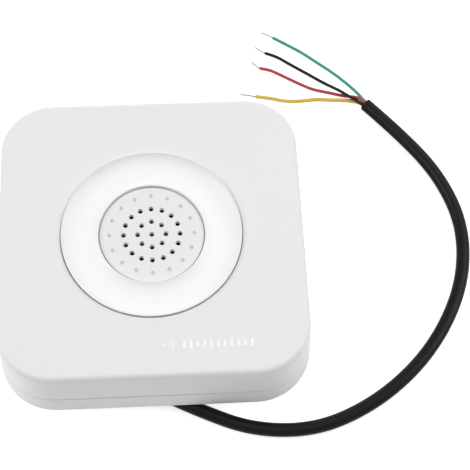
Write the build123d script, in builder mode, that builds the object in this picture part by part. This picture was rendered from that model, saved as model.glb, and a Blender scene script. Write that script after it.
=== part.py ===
from build123d import *
from math import pi, radians, sin, tan
import os

# Case, as seen from outside
face_size = 86.0
face_corner_radius = 15.0
draft_angle = 3.47
seam_height = 12.64
rim_height = 4.9
face_edge_radius = 1.5
rim_edge_radius = 0.4
seam_chamfer = 0.22
seam_gap = 0.2

# Case walls
cover_wall = 2.0
cover_top = 2.2
lip_height = 2.2
lip_wall = 1.3
fit_gap = 0.2
base_floor = 1.8
snap_length = 12.0
snap_rise = 0.12
snap_width = 0.8
snap_groove_margin = 0.2
snap_lift = 0.9

# Dish ring around the grille
ring_radius = 25.58
ring_gap = 0.28
ring_rise = 0.7
ring_inner_drop = 0.8
dish_outer_pull = (1.9, 2.4)
dish_inner_pull = (3.16, 2.1)
ring_land = 0.12
ring_edge_radius = 0.05
ring_flange_margin = 1.6
ring_flange_thickness = 1.0
ring_core_offset = 2.5
ring_core_wall = 1.06
ring_core_depth = 0.9
ledge_width = 2.1
bore_draft = 0.19

# Heat stakes that hold the ring
stake_count = 6
stake_offset = 1.55
stake_radius = 1.0
stake_head_radius = 1.6
stake_head_height = 0.7
stake_gap = 0.1

# Grille disc
grille_radius = 14.78
grille_gap = 0.25
grille_sink = 1.6
grille_thickness = 1.4
grille_edge_radius = 0.06
hole_radius = 0.7
hole_row_spacing = 4.0
inner_hole_count = 8
outer_hole_count = 16
dimple_radius = 0.72
dimple_floor_radius = 0.06
dimple_depth = 0.5
hole_chamfer = 0.12

# Relief mark on the face
mark_rise = 0.15
mark_y = -34.2
mark_dot_x = 2.6
mark_dot_radius = 0.42
mark_arc_width = 0.38
mark_arc_pitch = 0.75
mark_arc_count = 3
mark_arc_span = 70.0
bar_first_x = 8.0
bar_pitch = 1.85
bar_width = 0.8
bar_count = 11
bar_short = 1.0
bar_swing = 1.2
bar_phase = 57.0

# Wall bracket
bracket_size = 72.0
bracket_corner_radius = 8.0
bracket_floor = 1.6
bracket_rim = 2.0
bracket_leg_width = 14.0
window_top = 16.0
window_corner_radius = 3.0
wall_slot_inset = 6.0
wall_slot_length = 7.0
wall_slot_width = 4.4
hook_inset = 5.0
hook_rows = (18.0, -16.0)
hook_width = 6.0
hook_stem = 2.2
hook_nose = 3.0
hook_thickness = 1.6
hook_gap = 0.15
unhook_travel = 8.0
hook_slot_gap = 0.4

# Cable and its cores
cable_radius = 2.0
core_radius = 0.5
conductor_radius = 0.22
core_offset = 0.62
core_rise = 0.76
tip_drop = 0.1
bend_share = 0.45
entry_x = -16.0
entry_y = -11.0
entry_lift = 4.7
entry_run = 6.1
core_count = 4

# Wiring recess in the rear of the base
recess_left = -23.0
recess_right = 9.0
recess_bottom = -38.6
recess_roof_gap = 0.1
recess_wall = 1.6
entry_wall = 2.0
lead_in_length = 3.6
lead_in_height = 1.5

# Cable grommet
grommet_neck_radius = 2.7
grommet_flange_radius = 3.5
grommet_flange = 1.2
grommet_collar = 2.0
grommet_collar_radius = 2.6
grommet_nose = 1.4
bore_gap = 0.05

# Cable clamp inside the base
clamp_gap_to_wall = 2.3
clamp_depth = 4.0
clamp_width = 15.0
clamp_bar_lift = 0.8
clamp_bar_height = 2.4
clamp_screw_spacing = 10.0
clamp_screw_radius = 0.9
clamp_screw_length = 3.0
clamp_head_radius = 1.6
clamp_head_height = 1.2
tail_past_clamp = 3.5

# Circuit board
board_side_margin = 12.0
board_end_margin = 8.0
board_corner_radius = 3.0
board_thickness = 1.6
board_clearance = 0.4
post_side_inset = 4.5
post_end_inset = 4.0
post_radius = 3.0
screw_radius = 1.0
screw_length = 5.4
screw_head_radius = 2.0
screw_head_height = 1.4
screw_gap = 0.05
board_hole_gap = 0.25
cross_recess_width = 0.5
cross_recess_depth = 0.6
cross_recess_share = 1.3

# Plug and header under the board
plug_width = 10.0
plug_depth = 7.0
plug_height = 3.6
plug_gap = 0.15
plug_engaged = 4.0
header_wall = 1.0
header_back = 4.5
pin_pitch = 2.0
pin_width = 0.6
pin_stand = 0.6
pin_depth = 3.0
pin_gap = 0.03
lead_exit_run = 2.4

# Speaker
speaker_pad_thickness = 0.7
speaker_pad_radius = 8.0
yoke_radius = 8.6
yoke_floor = 0.9
yoke_height = 3.2
yoke_bore_radius = 7.0
magnet_radius = 6.2
magnet_height = 1.6
top_plate_height = 0.7
coil_gap = 0.25
coil_wall = 0.3
coil_height = 1.7
coil_lift = 1.0
pan_thickness = 0.8
pan_lift = 0.9
pan_floor_inset = 1.0
pan_rim_lift = 3.2
cone_thickness = 0.2
cone_radius = 13.7
cone_rise = 0.5
dome_rise = 1.0
cone_clearance = 0.1
surround_width = 1.3
surround_seat = 0.8
surround_thickness = 0.15
surround_rise = 0.25
surround_land = 0.5
gasket_width = 2.2
gasket_thickness = 1.3
collar_gap = 0.3
collar_wall = 1.2
collar_clear = 0.3
terminal_width = 7.0
terminal_length = 4.6
terminal_thickness = 0.8
terminal_corner_radius = 0.8
terminal_lead_offset = 2.0
speaker_lead_radius = 0.45
speaker_lead_reach = 2.9
speaker_lead_bend = 1.6

# Small parts on the board: width, depth, height, and places by x and by the distance from the board's lower edge
chip_size = (5.0, 4.0, 1.5)
chip_edge = 0.19
chip_places = ((-11.0, 7.0), (6.0, 7.0))
leg_size = (0.45, 1.1, 0.25)
leg_pitch = 1.27
leg_count = 4
regulator_size = (4.5, 2.6, 1.5)
regulator_place = (17.5, 5.5)
diode_size = (4.3, 2.6, 2.1)
diode_places = ((-21.0, 12.5), (21.0, 12.5))
resistor_size = (2.0, 1.25, 0.5)
resistor_places = ((-19.0, 7.5), (-19.0, 5.0), (-4.0, 3.5), (-4.0, 6.5), (-1.0, 3.5), (12.5, 3.5),
                   (26.0, 25.0), (26.0, 22.0))
small_capacitor_size = (2.0, 1.25, 0.9)
small_capacitor_places = ((-1.0, 6.5), (12.5, 6.5), (-26.0, 25.0), (-26.0, 22.0), (26.0, 28.0))
can_radii = (3.0, 2.5)
can_x = 15.0
can_inset = 6.5
can_length = 11.0
can_edge_radius = 0.4
can_seat = 0.05

# Levels worked out from the sizes above
slope = tan(radians(draft_angle))
floor_top = rim_height + base_floor
entry_z = rim_height + entry_lift
clamp_bar_bottom = entry_z + clamp_bar_lift
recess_depth = entry_lift + grommet_flange_radius + recess_roof_gap
board_level = rim_height + recess_depth + recess_wall + board_clearance
board_top = board_level + board_thickness
yoke_bottom = board_top + speaker_pad_thickness
pan_floor_z = yoke_bottom + pan_lift
pan_rim_z = yoke_bottom + pan_rim_lift
pan_rim_top = pan_rim_z + pan_thickness
ring_bottom = pan_rim_top + gasket_thickness
cover_ceiling = ring_bottom + ring_flange_thickness
face_height = cover_ceiling + cover_top
ring_top = face_height + ring_rise
ring_inner_top = ring_top - ring_inner_drop
cover_bottom = seam_height + seam_gap
grille_top = ring_top - grille_sink
grille_bottom = grille_top - grille_thickness

# Radii and places worked out from the sizes above
pan_rim_inner = cone_radius + surround_width
pan_rim_radius = pan_rim_inner + pan_thickness
pan_floor_radius = pan_rim_inner - pan_floor_inset
surround_outer = pan_rim_inner + surround_seat
speaker_radius = surround_outer + gasket_width
collar_inner = speaker_radius + collar_gap
collar_outer = collar_inner + collar_wall
ring_core_inner = collar_outer + ring_core_offset
ring_core_outer = ring_radius - ring_core_wall
stake_place_radius = ring_radius + ring_gap + stake_offset
ring_flange_radius = stake_place_radius + ring_flange_margin
wall_inner_y = entry_y + grommet_collar + grommet_flange + entry_wall
clamp_y = wall_inner_y + clamp_gap_to_wall + clamp_depth / 2
tail_end = clamp_y + clamp_depth / 2 + tail_past_clamp
plug_z = board_level - header_wall - plug_gap - plug_height / 2
window_width = bracket_size - 2 * bracket_leg_width
wall_slot_spacing = bracket_size - 2 * wall_slot_inset
hook_x = bracket_size / 2 - hook_inset
board_width = face_size - 2 * board_side_margin
board_height = face_size - 2 * board_end_margin
post_x = board_width / 2 - post_side_inset
post_y = board_height / 2 - post_end_inset
can_y = board_height / 2 - can_inset
plug_y = can_y - max(can_radii) - header_back - plug_depth
pin_places = [entry_x + (i - (core_count - 1) / 2) * pin_pitch for i in range(core_count)]
post_places = [(x, y) for x in (-post_x, post_x) for y in (-post_y, post_y)]
hook_places = [(x, y) for x in (-hook_x, hook_x) for y in hook_rows]
clamp_screw_places = [(entry_x + side * clamp_screw_spacing / 2, clamp_y) for side in (-1, 1)]

# Cable route, from the grommet down to the surface and along it to the end of the jacket
cable_drop = [(entry_x, entry_y, entry_z), (entry_x, entry_y - entry_run, entry_z), (-14.7, -23.1, 8.5),
              (-12.2, -28.5, 6.5), (-8.6, -33.1, 4.5), (-4.1, -36.9, 2.9)]
cable_lay = [(11.0, -44.7), (26.5, -51.4), (44.2, -52.2), (60.1, -46.1), (74.1, -35.8), (84.9, -22.7),
             (92.3, -6.9), (94.2, 10.4), (89.4, 26.8), (79.8, 41.4), (68.7, 54.0)]
cable_route = cable_drop + [(x, y, cable_radius) for x, y in cable_lay]

# Core routes: where each core comes down from the jacket's end, then its points along the surface
core_starts = {
    "green": [(69.27, 54.5, cable_radius), (68.1, 55.85, cable_radius), (66.7, 58.9, 1.1)],
    "black": [(68.13, 53.5, cable_radius), (67.14, 54.62, cable_radius), (65.5, 56.0, cable_radius),
              (63.4, 57.7, 1.8), (60.8, 60.0, 1.5)],
    "red": [(68.7, 54.0, cable_radius + core_rise), (67.71, 55.13, cable_radius + core_rise), (66.5, 56.9, 1.8),
            (64.9, 58.0, 0.7)],
    "yellow": [(68.7, 54.0, cable_radius - core_rise), (67.71, 55.13, 1.0)],
}
core_lays = {
    "green": [(64.2, 62.4), (60.0, 66.8), (54.6, 71.4), (49.7, 75.6), (45.0, 78.8), (40.8, 81.6)],
    "black": [(56.2, 63.5), (50.9, 67.4), (45.5, 71.2), (41.2, 74.5), (37.9, 75.7)],
    "red": [(61.6, 58.6), (57.2, 60.0), (52.2, 61.3), (47.3, 64.1), (42.2, 67.3), (38.5, 69.5), (35.8, 69.9)],
    "yellow": [(65.9, 56.1), (62.4, 56.9), (57.4, 57.1), (53.2, 57.6), (47.9, 57.0), (43.0, 57.2), (38.2, 58.6),
               (33.8, 59.3)],
}
core_routes = {colour: core_starts[colour] + [(x, y, core_radius) for x, y in core_lays[colour]]
               for colour in core_lays}

# Bare conductors beyond the insulation, each with its end a little lower
conductor_lays = {
    "green": [(39.1, 82.7), (37.2, 83.8)],
    "black": [(36.3, 76.5), (34.8, 78.1)],
    "red": [(34.6, 70.9), (33.3, 72.4)],
    "yellow": [(31.5, 59.9), (29.1, 60.4)],
}
conductor_routes = {colour: [core_routes[colour][-1], (*bend, core_radius), (*tip, core_radius - tip_drop)]
                    for colour, (bend, tip) in conductor_lays.items()}

os.makedirs("parts", exist_ok=True)


def size_at(height):
    return face_size + 2 * (face_height - height) * slope


def corner_at(height):
    return face_corner_radius + (face_height - height) * slope


def bend_radii(points):
    runs = [Vector(*b) - Vector(*a) for a, b in zip(points, points[1:])]
    radii = []
    for before, after in zip(runs, runs[1:]):
        turn = radians(before.get_angle(after))
        radii.append(bend_share * min(before.length, after.length) / tan(turn / 2))
    return radii


def make_tube(points, radius, radii=None):
    with BuildPart() as tube:
        with BuildLine() as path:
            FilletPolyline(*points, radius=radii or bend_radii(points))
        with BuildSketch(Plane(origin=path.line @ 0, z_dir=path.line % 0)):
            Circle(radius)
        sweep()
    return tube, path.wire().length


def save(piece, name):
    piece.part.label = name
    export_step(piece.part, f"parts/{name}.step")


def report_tube(name, points, radius, tube, length):
    share = tube.part.volume / (pi * radius ** 2 * length)
    radii = ", ".join(f"{r:.1f}" for r in bend_radii(points))
    print(f"{name}: length {length:.1f}, volume / (section x length) {share:.4f}, radii {radii}")


def drive_recess(places, top, head_radius):
    # Cross recess cut into the heads of the screws
    with Locations(*[(x, y, top - cross_recess_depth / 2) for x, y in places]):
        Box(cross_recess_share * head_radius, cross_recess_width, cross_recess_depth, mode=Mode.SUBTRACT)
        Box(cross_recess_width, cross_recess_share * head_radius, cross_recess_depth, mode=Mode.SUBTRACT)


# Wall bracket: a horseshoe frame with two screw slots and four hooks
tray_size = bracket_size - 2 * bracket_rim
window_height = window_top + bracket_size / 2
hook_bottom = floor_top + hook_gap
with BuildPart() as wall_bracket:
    with BuildSketch():
        RectangleRounded(bracket_size, bracket_size, bracket_corner_radius)
    extrude(amount=rim_height)
    with BuildSketch(Plane.XY.offset(bracket_floor)):
        RectangleRounded(tray_size, tray_size, bracket_corner_radius - bracket_rim)
    extrude(amount=rim_height, mode=Mode.SUBTRACT)
    with BuildSketch(Plane.XY.offset(bracket_floor)):
        with Locations((0, window_top - window_height / 2)):
            Rectangle(window_width + 2 * bracket_rim, window_height + 2 * bracket_rim)
        with Locations((0, -bracket_size / 2 - window_height / 2)):
            Rectangle(bracket_size, window_height, mode=Mode.SUBTRACT)
    extrude(amount=rim_height - bracket_floor)
    with BuildSketch():
        with Locations((0, window_top - window_height)):
            RectangleRounded(window_width, 2 * window_height, window_corner_radius)
    extrude(amount=rim_height, mode=Mode.SUBTRACT)
    with BuildSketch():
        with GridLocations(wall_slot_spacing, 0, 2, 1):
            SlotOverall(wall_slot_length, wall_slot_width)
    extrude(amount=rim_height, mode=Mode.SUBTRACT)
    with BuildSketch():
        with Locations(*hook_places):
            Rectangle(hook_width, hook_stem)
    extrude(amount=hook_bottom + hook_thickness)
    with BuildSketch(Plane.XY.offset(hook_bottom)):
        with Locations(*[(x, y + hook_nose / 2) for x, y in hook_places]):
            Rectangle(hook_width, hook_stem + hook_nose)
    extrude(amount=hook_thickness)
save(wall_bracket, "wall_bracket")

# Rear base: tray with a lip, board posts, hook slots and a wiring recess open to the rear
lip_top = seam_height + lip_height
lip_size = size_at(lip_top) - 2 * cover_wall - 2 * fit_gap
lip_corner = corner_at(lip_top) - cover_wall - fit_gap
cavity_size = lip_size - 2 * lip_wall
cavity_corner = lip_corner - lip_wall
recess_top_y = wall_inner_y - entry_wall
recess_width = recess_right - recess_left
recess_height = recess_top_y - recess_bottom
recess_x = (recess_left + recess_right) / 2
recess_y = (recess_bottom + recess_top_y) / 2
slot_reach = hook_stem + unhook_travel + 2 * hook_slot_gap
with BuildPart() as rear_base:
    with BuildSketch(Plane.XY.offset(rim_height)):
        RectangleRounded(size_at(rim_height), size_at(rim_height), corner_at(rim_height))
    extrude(amount=seam_height - rim_height, taper=draft_angle)
    rim_edges = rear_base.faces().sort_by(Axis.Z)[0].edges()
    fillet(rim_edges, rim_edge_radius)
    seam_edges = rear_base.faces().sort_by(Axis.Z)[-1].edges()
    chamfer(seam_edges, seam_chamfer)
    with BuildSketch(Plane.XY.offset(seam_height)):
        RectangleRounded(lip_size, lip_size, lip_corner)
    extrude(amount=lip_height)
    with BuildSketch(Plane.XY.offset(floor_top)):
        RectangleRounded(cavity_size, cavity_size, cavity_corner)
    extrude(amount=lip_top - floor_top, mode=Mode.SUBTRACT)
    for quarter in range(4):
        with BuildSketch(Plane.XY.offset(seam_height + snap_lift)):
            with PolarLocations(lip_size / 2, 1, 90 * quarter):
                Rectangle(2 * snap_rise, snap_length)
        extrude(amount=snap_width)
    with BuildSketch(Plane.XY.offset(rim_height)):
        with Locations((recess_x, recess_y + (entry_wall - recess_wall) / 2)):
            Rectangle(recess_width + 2 * recess_wall, recess_height + entry_wall + recess_wall)
    extrude(amount=recess_depth + recess_wall)
    with BuildSketch(Plane.XY.offset(floor_top)):
        with Locations((entry_x, clamp_y)):
            Rectangle(clamp_width, clamp_depth)
    extrude(amount=clamp_bar_bottom - floor_top)
    with BuildSketch(Plane.XY.offset(floor_top)):
        with Locations(*post_places):
            Circle(post_radius)
    extrude(amount=board_level - floor_top)
    with BuildSketch(Plane.XY.offset(rim_height)):
        with Locations((recess_x, recess_y)):
            Rectangle(recess_width, recess_height)
    extrude(amount=recess_depth, mode=Mode.SUBTRACT)
    with BuildSketch(Plane.YZ.offset(recess_left)):
        with BuildLine():
            Polyline((recess_bottom, rim_height), (recess_bottom - lead_in_length, rim_height),
                     (recess_bottom, rim_height + lead_in_height), close=True)
        make_face()
    extrude(amount=recess_width, mode=Mode.SUBTRACT)
    with BuildSketch(Plane.XZ.offset(-recess_top_y)):
        with Locations((entry_x, entry_z)):
            Circle(grommet_neck_radius + bore_gap)
    extrude(amount=-entry_wall, mode=Mode.SUBTRACT)
    with BuildSketch(Plane.XZ.offset(-clamp_y - clamp_depth / 2)):
        with Locations((entry_x, entry_z)):
            Circle(cable_radius + bore_gap)
    extrude(amount=clamp_depth, mode=Mode.SUBTRACT)
    with BuildSketch(Plane.XY.offset(rim_height)):
        with Locations(*[(x, y + hook_stem / 2 + hook_gap - slot_reach / 2) for x, y in hook_places]):
            Rectangle(hook_width + 2 * hook_slot_gap, slot_reach)
    extrude(amount=base_floor, mode=Mode.SUBTRACT)
    with Locations(*[(x, y, board_level) for x, y in post_places]):
        Hole(screw_radius + screw_gap, screw_length)
    with Locations(*[(x, y, clamp_bar_bottom) for x, y in clamp_screw_places]):
        Hole(clamp_screw_radius + screw_gap, clamp_screw_length)
save(rear_base, "rear_base")

# Front cover: shell with the ring's hole, snap grooves and heat stakes
shell_size = size_at(cover_bottom) - 2 * cover_wall
with BuildPart() as front_cover:
    with BuildSketch(Plane.XY.offset(cover_bottom)):
        RectangleRounded(size_at(cover_bottom), size_at(cover_bottom), corner_at(cover_bottom))
    extrude(amount=face_height - cover_bottom, taper=draft_angle)
    fillet(front_cover.faces().sort_by(Axis.Z)[-1].edges(), face_edge_radius)
    chamfer(front_cover.faces().sort_by(Axis.Z)[0].edges(), seam_chamfer)
    with BuildSketch(Plane.XY.offset(cover_bottom)):
        RectangleRounded(shell_size, shell_size, corner_at(cover_bottom) - cover_wall)
    extrude(amount=cover_ceiling - cover_bottom, taper=draft_angle, mode=Mode.SUBTRACT)
    for quarter in range(4):
        with BuildSketch(Plane.XY.offset(seam_height + snap_lift - snap_groove_margin)):
            with PolarLocations(shell_size / 2, 1, 90 * quarter):
                Rectangle(2 * snap_groove_margin, snap_length + 2 * snap_groove_margin)
        extrude(amount=snap_width + 2 * snap_groove_margin, mode=Mode.SUBTRACT)
    with BuildSketch(Plane.XY.offset(cover_ceiling)):
        Circle(ring_radius + ring_gap)
    extrude(amount=cover_top, mode=Mode.SUBTRACT)
    with BuildSketch(Plane.XY.offset(ring_bottom)):
        with PolarLocations(stake_place_radius, stake_count):
            Circle(stake_radius)
    extrude(amount=ring_flange_thickness)
    with BuildSketch(Plane.XY.offset(ring_bottom - stake_head_height)):
        with PolarLocations(stake_place_radius, stake_count):
            Circle(stake_head_radius)
    extrude(amount=stake_head_height)
save(front_cover, "front_cover")

# Dish ring: concave ring, flange under the cover, ledge for the grille and collar around the speaker
ledge_radius = grille_radius - ledge_width
bore_radius = grille_radius + grille_gap
dish_outer = ring_radius - ring_land
bore_mouth = bore_radius + bore_draft
dish_inner = bore_mouth + ring_land
collar_bottom = pan_rim_top - pan_thickness + collar_clear
with BuildPart() as dish_ring:
    with BuildSketch(Plane.XZ):
        with BuildLine():
            Polyline((dish_inner, ring_inner_top), (bore_mouth, ring_inner_top), (bore_radius, grille_top),
                     (bore_radius, grille_bottom), (ledge_radius, grille_bottom), (ledge_radius, ring_bottom),
                     (collar_inner, ring_bottom),
                     (collar_inner, collar_bottom), (collar_outer, collar_bottom), (collar_outer, ring_bottom),
                     (ring_core_inner, ring_bottom), (ring_core_inner, ring_bottom + ring_core_depth),
                     (ring_core_outer, ring_bottom + ring_core_depth), (ring_core_outer, ring_bottom),
                     (ring_flange_radius, ring_bottom),
                     (ring_flange_radius, cover_ceiling), (ring_radius, cover_ceiling), (ring_radius, ring_top),
                     (dish_outer, ring_top))
            Bezier((dish_outer, ring_top), (dish_outer - dish_outer_pull[0], ring_top - dish_outer_pull[1]),
                   (dish_inner + dish_inner_pull[0], ring_inner_top - dish_inner_pull[1]),
                   (dish_inner, ring_inner_top))
        make_face()
    revolve(axis=Axis.Z)
    outer_rims, inner_rims = dish_ring.edges().filter_by(GeomType.CIRCLE).group_by(Axis.Z)[:-3:-1]
    fillet(outer_rims + inner_rims, ring_edge_radius)
    with Locations((0, 0, ring_bottom)):
        with PolarLocations(stake_place_radius, stake_count):
            Cylinder(stake_radius + stake_gap, 2 * ring_flange_thickness + stake_gap, mode=Mode.SUBTRACT)
save(dish_ring, "dish_ring")

# Speaker grille: disc with round holes and a ring of conical dimples
with BuildPart() as speaker_grille:
    with BuildSketch(Plane.XY.offset(grille_bottom)):
        Circle(grille_radius)
    extrude(amount=grille_thickness)
    fillet(speaker_grille.edges().group_by(Axis.Z)[-1], grille_edge_radius)
    with BuildSketch(Plane.XY.offset(grille_bottom)):
        Circle(hole_radius)
        with PolarLocations(hole_row_spacing, inner_hole_count, 90):
            Circle(hole_radius)
        with PolarLocations(2 * hole_row_spacing, outer_hole_count, 90):
            Circle(hole_radius)
    extrude(amount=grille_thickness, mode=Mode.SUBTRACT)
    chamfer(speaker_grille.faces().filter_by(Axis.Z).sort_by(Axis.Z)[-1].inner_wires().edges(), hole_chamfer)
    with Locations((0, 0, grille_top - dimple_depth / 2)):
        with PolarLocations(3 * hole_row_spacing, outer_hole_count, 90):
            Cone(dimple_floor_radius, dimple_radius, dimple_depth, mode=Mode.SUBTRACT)
save(speaker_grille, "speaker_grille")

# Relief mark: a dot, three arcs and a row of level bars, all seated on the face
with BuildPart() as relief_mark:
    with BuildSketch(Plane.XY.offset(face_height)):
        with Locations((mark_dot_x, mark_y)):
            Circle(mark_dot_radius)
        for i in range(mark_arc_count):
            arc_radius = mark_dot_radius + (i + 1) * mark_arc_pitch
            with Locations((mark_dot_x, mark_y)):
                SlotArc(CenterArc((0, 0), arc_radius, -mark_arc_span / 2, mark_arc_span), mark_arc_width)
        for i in range(bar_count):
            bar_height = bar_short + bar_swing * abs(sin(radians(bar_phase * (i + 1))))
            with Locations((bar_first_x + i * bar_pitch, mark_y)):
                SlotOverall(bar_height + bar_width / 2, bar_width, rotation=90)
    extrude(amount=mark_rise)
save(relief_mark, "relief_mark")

# Cable grommet in the wall of the wiring recess
bore = cable_radius + bore_gap
with BuildPart() as cable_grommet:
    with BuildSketch(Plane.XY.offset(entry_z)):
        with BuildLine():
            Polyline((entry_x + bore, entry_y), (entry_x + grommet_collar_radius, entry_y),
                     (entry_x + grommet_flange_radius, entry_y + grommet_collar),
                     (entry_x + grommet_flange_radius, recess_top_y),
                     (entry_x + grommet_neck_radius, recess_top_y),
                     (entry_x + grommet_neck_radius, wall_inner_y + grommet_nose / 2),
                     (entry_x + bore + bore_gap, wall_inner_y + grommet_nose),
                     (entry_x + bore, wall_inner_y + grommet_nose), close=True)
        make_face()
    revolve(axis=Axis((entry_x, 0, entry_z), (0, 1, 0)))
save(cable_grommet, "cable_grommet")

# Cable held by the grommet and the clamp
with BuildPart() as cable_tail:
    with BuildSketch(Plane.XZ.offset(-entry_y)):
        with Locations((entry_x, entry_z)):
            Circle(cable_radius)
    extrude(amount=entry_y - tail_end)
save(cable_tail, "cable_tail")

# Clamp bar over the cable, with its two screws
head_seat = clamp_bar_bottom + clamp_bar_height
with BuildPart() as cable_clamp:
    with BuildSketch(Plane.XY.offset(clamp_bar_bottom)):
        with Locations((entry_x, clamp_y)):
            Rectangle(clamp_width, clamp_depth)
    extrude(amount=clamp_bar_height)
    with BuildSketch(Plane.XZ.offset(-clamp_y - clamp_depth / 2)):
        with Locations((entry_x, entry_z)):
            Circle(cable_radius + bore_gap)
    extrude(amount=clamp_depth, mode=Mode.SUBTRACT)
    with Locations(*[(x, y, head_seat) for x, y in clamp_screw_places]):
        Hole(clamp_screw_radius + board_hole_gap, clamp_bar_height)
save(cable_clamp, "cable_clamp")

with BuildPart() as clamp_screws:
    with BuildSketch(Plane.XY.offset(clamp_bar_bottom - clamp_screw_length + screw_gap)):
        with Locations(*clamp_screw_places):
            Circle(clamp_screw_radius)
    extrude(amount=clamp_screw_length + clamp_bar_height - screw_gap)
    with BuildSketch(Plane.XY.offset(head_seat)):
        with Locations(*clamp_screw_places):
            Circle(clamp_head_radius)
    extrude(amount=clamp_head_height)
    drive_recess(clamp_screw_places, head_seat + clamp_head_height, clamp_head_radius)
save(clamp_screws, "clamp_screws")

# Circuit board with its four screws
with BuildPart() as circuit_board:
    with BuildSketch(Plane.XY.offset(board_level)):
        RectangleRounded(board_width, board_height, board_corner_radius)
        with Locations(*post_places):
            Circle(screw_radius + board_hole_gap, mode=Mode.SUBTRACT)
        with Locations(*[(x, plug_y + plug_depth + header_back - pin_stand) for x in pin_places]):
            Rectangle(pin_width + 2 * pin_gap, pin_width + 2 * pin_gap, mode=Mode.SUBTRACT)
    extrude(amount=board_thickness)
save(circuit_board, "circuit_board")

with BuildPart() as board_screws:
    with BuildSketch(Plane.XY.offset(board_level - screw_length + screw_gap)):
        with Locations(*post_places):
            Circle(screw_radius)
    extrude(amount=screw_length - screw_gap + board_thickness)
    with BuildSketch(Plane.XY.offset(board_top)):
        with Locations(*post_places):
            Circle(screw_head_radius)
    extrude(amount=screw_head_height)
    drive_recess(post_places, board_top + screw_head_height, screw_head_radius)
save(board_screws, "board_screws")

# Header under the board, its pins and the plug in it
header_front = plug_y + plug_depth - plug_engaged
header_rear = plug_y + plug_depth + header_back
header_bottom = plug_z - plug_height / 2 - plug_gap - header_wall
header_width = plug_width + 2 * (plug_gap + header_wall)
pin_y = header_rear - pin_stand
with BuildPart() as board_header:
    with BuildSketch(Plane.XY.offset(header_bottom)):
        with Locations((entry_x, (header_front + header_rear) / 2)):
            Rectangle(header_width, header_rear - header_front)
    extrude(amount=board_level - header_bottom)
    with BuildSketch(Plane.XZ.offset(-plug_y - plug_depth)):
        with Locations((entry_x, plug_z)):
            Rectangle(plug_width + 2 * plug_gap, plug_height + 2 * plug_gap)
    extrude(amount=plug_engaged, mode=Mode.SUBTRACT)
    with BuildSketch(Plane.XY.offset(plug_z - pin_width / 2 - pin_gap)):
        with Locations(*[(x, pin_y) for x in pin_places]):
            Rectangle(pin_width + 2 * pin_gap, pin_width + 2 * pin_gap)
    extrude(amount=board_level - plug_z + pin_width / 2 + pin_gap, mode=Mode.SUBTRACT)
    with BuildSketch(Plane.XZ.offset(-pin_y)):
        with Locations(*[(x, plug_z) for x in pin_places]):
            Rectangle(pin_width + 2 * pin_gap, pin_width + 2 * pin_gap)
    extrude(amount=header_back, mode=Mode.SUBTRACT)
save(board_header, "board_header")

with BuildPart() as header_pins:
    with BuildSketch(Plane.XY.offset(plug_z - pin_width / 2)):
        with Locations(*[(x, pin_y) for x in pin_places]):
            Rectangle(pin_width, pin_width)
    extrude(amount=board_top + pin_stand - plug_z + pin_width / 2)
    with BuildSketch(Plane.XZ.offset(-pin_y)):
        with Locations(*[(x, plug_z) for x in pin_places]):
            Rectangle(pin_width, pin_width)
    extrude(amount=pin_y - plug_y - plug_depth + pin_depth)
save(header_pins, "header_pins")

with BuildPart() as lead_plug:
    with BuildSketch(Plane.XZ.offset(-plug_y)):
        with Locations((entry_x, plug_z)):
            Rectangle(plug_width, plug_height)
    extrude(amount=-plug_depth)
    with BuildSketch(Plane.XZ.offset(-plug_y - plug_depth)):
        with Locations(*[(x, plug_z) for x in pin_places]):
            Rectangle(pin_width + 2 * pin_gap, pin_width + 2 * pin_gap)
    extrude(amount=pin_depth + pin_gap, mode=Mode.SUBTRACT)
save(lead_plug, "lead_plug")

# Leads from the cable's end to the plug
tail_offsets = {"green": (-1, -1), "black": (-1, 1), "red": (1, 1), "yellow": (1, -1)}
for (colour, (side, level)), pin_x in zip(tail_offsets.items(), pin_places):
    start_x = entry_x + side * core_offset
    start_z = entry_z + level * core_offset
    inner_route = [(start_x, tail_end, start_z), (start_x, tail_end + lead_exit_run, start_z),
                   (pin_x, plug_y - lead_exit_run, plug_z), (pin_x, plug_y, plug_z)]
    inner_lead = make_tube(inner_route, core_radius)[0]
    save(inner_lead, f"inner_lead_{colour}")

# Speaker: foam pad, yoke, magnet, top plate, pan, coil, cone, surround and gasket
with BuildPart() as speaker_pad:
    with BuildSketch(Plane.XY.offset(board_top)):
        Circle(speaker_pad_radius)
    extrude(amount=speaker_pad_thickness)
save(speaker_pad, "speaker_pad")

with BuildPart() as speaker_yoke:
    with BuildSketch(Plane.XY.offset(yoke_bottom)):
        Circle(yoke_radius)
    extrude(amount=yoke_height)
    with BuildSketch(Plane.XY.offset(yoke_bottom + yoke_floor)):
        Circle(yoke_bore_radius)
    extrude(amount=yoke_height - yoke_floor, mode=Mode.SUBTRACT)
save(speaker_yoke, "speaker_yoke")

magnet_bottom = yoke_bottom + yoke_floor
with BuildPart() as speaker_magnet:
    with BuildSketch(Plane.XY.offset(magnet_bottom)):
        Circle(magnet_radius)
    extrude(amount=magnet_height)
save(speaker_magnet, "speaker_magnet")

with BuildPart() as speaker_top_plate:
    with BuildSketch(Plane.XY.offset(magnet_bottom + magnet_height)):
        Circle(magnet_radius)
    extrude(amount=top_plate_height)
save(speaker_top_plate, "speaker_top_plate")

with BuildPart() as speaker_frame:
    with BuildSketch(Plane.XZ):
        with BuildLine():
            Polyline((yoke_radius + bore_gap, pan_floor_z), (pan_floor_radius, pan_floor_z),
                     (pan_rim_radius, pan_rim_z), (speaker_radius, pan_rim_z), (speaker_radius, pan_rim_top),
                     (pan_rim_inner, pan_rim_top), (pan_floor_radius - pan_thickness, pan_floor_z + pan_thickness),
                     (yoke_radius + bore_gap, pan_floor_z + pan_thickness), close=True)
        make_face()
    revolve(axis=Axis.Z)
save(speaker_frame, "speaker_frame")

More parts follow.
